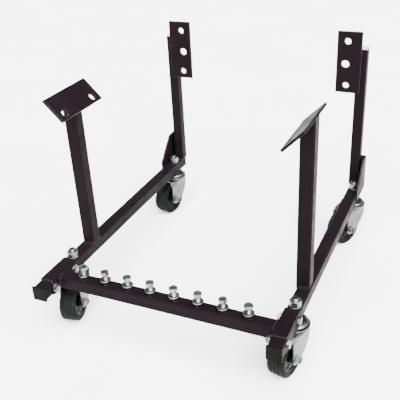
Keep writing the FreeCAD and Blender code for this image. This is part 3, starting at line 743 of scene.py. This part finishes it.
def make_tyre(corner):
    """Tread with three grooves, and both sidewalls as one piece of darker rubber."""
    at = axle_frame(corner)
    groove = WHEEL_RADIUS - 1.6
    tread = [(RIM_RADIUS, HALF_WIDTH - 1.0), (WHEEL_RADIUS - 3.4, HALF_WIDTH - 0.5),
             (WHEEL_RADIUS - 1.2, HALF_WIDTH - 0.7), (WHEEL_RADIUS - 0.3, HALF_WIDTH - 2.3),
             (WHEEL_RADIUS, HALF_WIDTH - 4.0), (WHEEL_RADIUS, 9.1), (groove, 8.6),
             (groove, 7.2), (WHEEL_RADIUS, 6.7), (WHEEL_RADIUS, 1.2), (groove, 0.7)]
    Maker().add(*lathe(rounded(mirrored(tread), 0.35, 2), 120, True), at).piece(
        corner + "_ribbed_tyre", TYRE, corner + "_wheel", [corner + "_tyre"])
    wall = [(RIM_RADIUS, HALF_WIDTH - 1.4), (RIM_RADIUS, HALF_WIDTH - 0.5),
            (RIM_RADIUS + 1.0, HALF_WIDTH - 0.1), (WHEEL_RADIUS - 3.4, HALF_WIDTH),
            (WHEEL_RADIUS - 1.6, HALF_WIDTH - 0.55), (WHEEL_RADIUS - 1.8, HALF_WIDTH - 1.2)]
    walls = Maker()
    for facing in (Matrix.Identity(4), turned(180, "Y")):
        walls.add(*lathe(rounded(wall, 0.3, 2), 120, True), at @ facing)
    walls.piece(corner + "_tyre_sidewalls", SIDEWALL, corner + "_wheel", [corner + "_tyre"])


STEM_HEX = 19.05
LOCK_WASHER = 1.8
STEM_NUT = 11.1


def make_stem_nuts():
    nuts, washers = Maker(), Maker()
    washer_top = RAIL_TOP + LOCK_WASHER
    for index, corner in enumerate(CORNERS):
        at = stem_foot(corner)
        washers.add(*split_ring_part(10.8, 6.6, RAIL_TOP, washer_top), at @ turned(200))
        nuts.add(*hex_part(STEM_HEX, washer_top, washer_top + STEM_NUT, 6.4),
                 at @ turned(20 + 17 * index))
    nuts.piece("caster_stem_nuts", BRIGHT, "frame", ["stem_nuts"])
    washers.piece("caster_lock_washers", ZINC, "frame", ["stem_lock_washers"])


# ---- Weld beads ------------------------------------------------------------------------------

GUSSET_STEEL = 3.2
FORWARD = Vector((0, -1, 0))
BACKWARD = Vector((0, 1, 0))
UP = Vector((0, 0, 1))


def weld(maker, start, end, first, second, size, wobble):
    """A rippled fillet bead along a corner; first and second lie along the two faces."""
    start, end = Vector(start), Vector(end)
    length = (end - start).length
    along = (end - start).normalized()
    row_spacing, ripple_pitch, taper_length = 0.45, 2.5, 2.4
    rows = int(length / row_spacing)
    arc = 8
    points = []
    for row in range(rows + 1):
        distance = length * row / rows
        from_end = min(distance, length - distance)
        taper = math.sqrt(min(1.0, (from_end + 0.15) / taper_length))
        drift = 1 + 0.06 * wobble.uniform(-1, 1)
        points.append(start + along * distance)
        for step in range(arc + 1):
            angle = math.pi / 2 * step / arc
            middle = math.sin(2 * angle)
            phase = (distance / ripple_pitch + 0.55 * middle) % 1.0
            ripple = 1 + 0.13 * (phase - 0.5) * (0.4 + middle)
            reach = size * taper * ripple * (0.82 + 0.05 * middle)
            if row % 5 == 0:
                reach *= drift
            points.append(start + along * distance
                          + (first * math.cos(angle) + second * math.sin(angle)) * reach)
    count = arc + 2
    maker.add(points, grid_faces(rows + 1, count) + end_faces(rows + 1, count))


def weld_beam_end(maker, name, inward, wobble):
    """Both sides and the top of the beam where it meets the sleeve."""
    sleeve_low, sleeve_high = box_mm(name + "_sleeve")
    face = sleeve_low.x if inward.x < 0 else sleeve_high.x
    low, high = BEAM_LOW.z + 1.5, BEAM_HIGH.z - 1.5
    side_bead, top_bead = 2.8, 3.0
    for y, way in ((BEAM_LOW.y, FORWARD), (BEAM_HIGH.y, BACKWARD)):
        weld(maker, (face, y, low), (face, y, high), inward, way, side_bead, wobble)
    weld(maker, (face, BEAM_LOW.y + 1, RAIL_TOP), (face, BEAM_HIGH.y - 1, RAIL_TOP), inward, UP,
         top_bead, wobble)


def weld_front_upright(maker, name, inward, wobble):
    """Front and back of the upright: along the rail, and under the plate's slope."""
    low, high = box_mm(name + "_front_upright")
    inner = low.x if inward.x < 0 else high.x
    # The plate rises outward at 45 degrees from the upright's inner edge.
    slope = (UP - inward).normalized()
    down = -(UP + inward).normalized()
    slope_foot = high.z - (high.x - low.x)
    foot_bead, plate_bead, plate_length = 4.6, 4.0, 32
    for y, way in ((low.y, FORWARD), (high.y, BACKWARD)):
        weld(maker, (low.x + 1, y, RAIL_TOP), (high.x - 1, y, RAIL_TOP), way, UP, foot_bead,
             wobble)
        start = Vector((inner, y, slope_foot)) + slope
        weld(maker, start, start + slope * plate_length, way, down, plate_bead, wobble)


def weld_rear_upright(maker, name, inward, wobble):
    """Foot of the upright, side and underside of the bell-housing plate, and the gusset's edge."""
    low, high = box_mm(name + "_rear_upright")
    inner, outer = (low.x, high.x) if inward.x < 0 else (high.x, low.x)
    plate_foot = box_mm(name + "_bell_plate")[0].z
    gusset_high = box_mm(name + "_gusset")[1]
    foot_bead, side_bead, under_bead, gusset_bead = 1.8, 3.8, 4.2, 3.4
    weld(maker, (low.x + 1, low.y, RAIL_TOP), (high.x - 1, low.y, RAIL_TOP), FORWARD, UP,
         foot_bead, wobble)
    weld(maker, (inner, low.y, plate_foot + 5), (inner, low.y, high.z - 4), inward, BACKWARD,
         side_bead, wobble)
    weld(maker, (inner - inward.x * 2, low.y, plate_foot),
         (inner - inward.x * 7, low.y, plate_foot), FORWARD, -UP, under_bead, wobble)
    # This bead runs in front of the gusset's bent edge, which is one sheet thick.
    edge_y = gusset_high.y - GUSSET_STEEL
    weld(maker, (outer, edge_y, RAIL_TOP + 2), (outer, edge_y, gusset_high.z - 2), -inward,
         FORWARD, gusset_bead, wobble)


def make_welds(name, side):
    """All the beads of one side; side is -1 on the left and 1 on the right."""
    wobble = random.Random(side + 5)
    maker = Maker()
    inward = Vector((-side, 0, 0))
    weld_beam_end(maker, name, inward, wobble)
    weld_front_upright(maker, name, inward, wobble)
    weld_rear_upright(maker, name, inward, wobble)
    maker.piece(name + "_weld_ripples", PAINT, "frame", [name + "_weld_beads"], crease=60)


make_storage_bolts()
make_cross_bolts()
make_stem_nuts()
for corner in CORNERS:
    make_stem(corner)
    make_fork(corner)
    make_axle(corner)
    make_core(corner)
    make_tyre(corner)
make_welds("left", -1)
make_welds("right", 1)


# ---- Camera, floor, lights -------------------------------------------------------------------

CAMERA_PLACE = Vector((0.46924, -1.05470, 0.82042))
YAW, PITCH, ROLL = (math.radians(angle) for angle in (25.514, 28.606, -3.242))
LENS = 58.7628
SENSOR = 36.0


def make_camera():
    forward = Vector((-math.sin(YAW) * math.cos(PITCH), math.cos(YAW) * math.cos(PITCH),
                      -math.sin(PITCH)))
    right = Vector((math.cos(YAW), math.sin(YAW), 0))
    up = right.cross(forward)
    axis_x = right * math.cos(ROLL) + up * math.sin(ROLL)
    axis_y = up * math.cos(ROLL) - right * math.sin(ROLL)
    data = bpy.data.cameras.new("camera")
    data.sensor_width = SENSOR
    data.lens = LENS
    data.clip_end = 50
    camera = bpy.data.objects.new("camera", data)
    turn = Matrix((axis_x, axis_y, -forward)).transposed().to_4x4()
    camera.matrix_world = Matrix.Translation(CAMERA_PLACE) @ turn
    bpy.context.scene.collection.objects.link(camera)
    bpy.context.scene.camera = camera


def make_floor():
    material, tree, shader = new_material("pale_floor")
    base = ramp(tree, noise(tree, 3, 3.0), ((0.3, grey(0.86)), (0.7, grey(0.90))))
    tree.links.new(base, shader.inputs["Base Color"])
    shader.inputs["Roughness"].default_value = 0.9
    shader.inputs["Specular IOR Level"].default_value = 0.2
    mesh = bpy.data.meshes.new("floor")
    # Wide enough that its far edge lies close to the horizon.
    reach = 40
    mesh.from_pydata([(-reach, -reach, 0), (reach, -reach, 0), (reach, reach, 0),
                      (-reach, reach, 0)], [], [(0, 1, 2, 3)])
    mesh.materials.append(material)
    floor = bpy.data.objects.new("floor", mesh)
    bpy.context.scene.collection.objects.link(floor)


def make_light(name, place, target, size, watts):
    data = bpy.data.lights.new(name, "AREA")
    data.shape = "RECTANGLE"
    data.size, data.size_y = size
    data.energy = watts
    light = bpy.data.objects.new(name, data)
    direction = Vector(target) - Vector(place)
    light.matrix_world = (Matrix.Translation(place)
                          @ direction.to_track_quat("-Z", "Y").to_matrix().to_4x4())
    bpy.context.scene.collection.objects.link(light)


def make_sun(direction, spread, strength):
    """A broad sun: even light over the whole floor with soft shadows."""
    data = bpy.data.lights.new("sun", "SUN")
    data.angle = math.radians(spread)
    data.energy = strength
    light = bpy.data.objects.new("sun", data)
    light.rotation_euler = Vector(direction).to_track_quat("Z", "Y").to_euler()
    bpy.context.scene.collection.objects.link(light)


def make_world():
    """A white glow along the horizon that darkens upward, so that glossy tops stay dark."""
    world = bpy.data.worlds.new("studio")
    world.use_nodes = True
    tree = world.node_tree
    background = tree.nodes["Background"]
    height = make_node(tree, "SeparateXYZ")
    tree.links.new(make_node(tree, "TexCoord").outputs["Generated"], height.inputs[0])
    sky = ramp(tree, height.outputs["Z"], ((0.10, grey(1.0)), (0.34, grey(0.07))))
    tree.links.new(sky, background.inputs["Color"])
    background.inputs["Strength"].default_value = 4.0
    bpy.context.scene.world = world


make_camera()
make_floor()
make_world()
make_sun(direction=(0.40, -0.50, 1.0), spread=70, strength=27.0)
make_light("fill", place=(2.2, -0.6, 1.4), target=(0, 0, 0.15), size=(1.4, 1.4), watts=20)
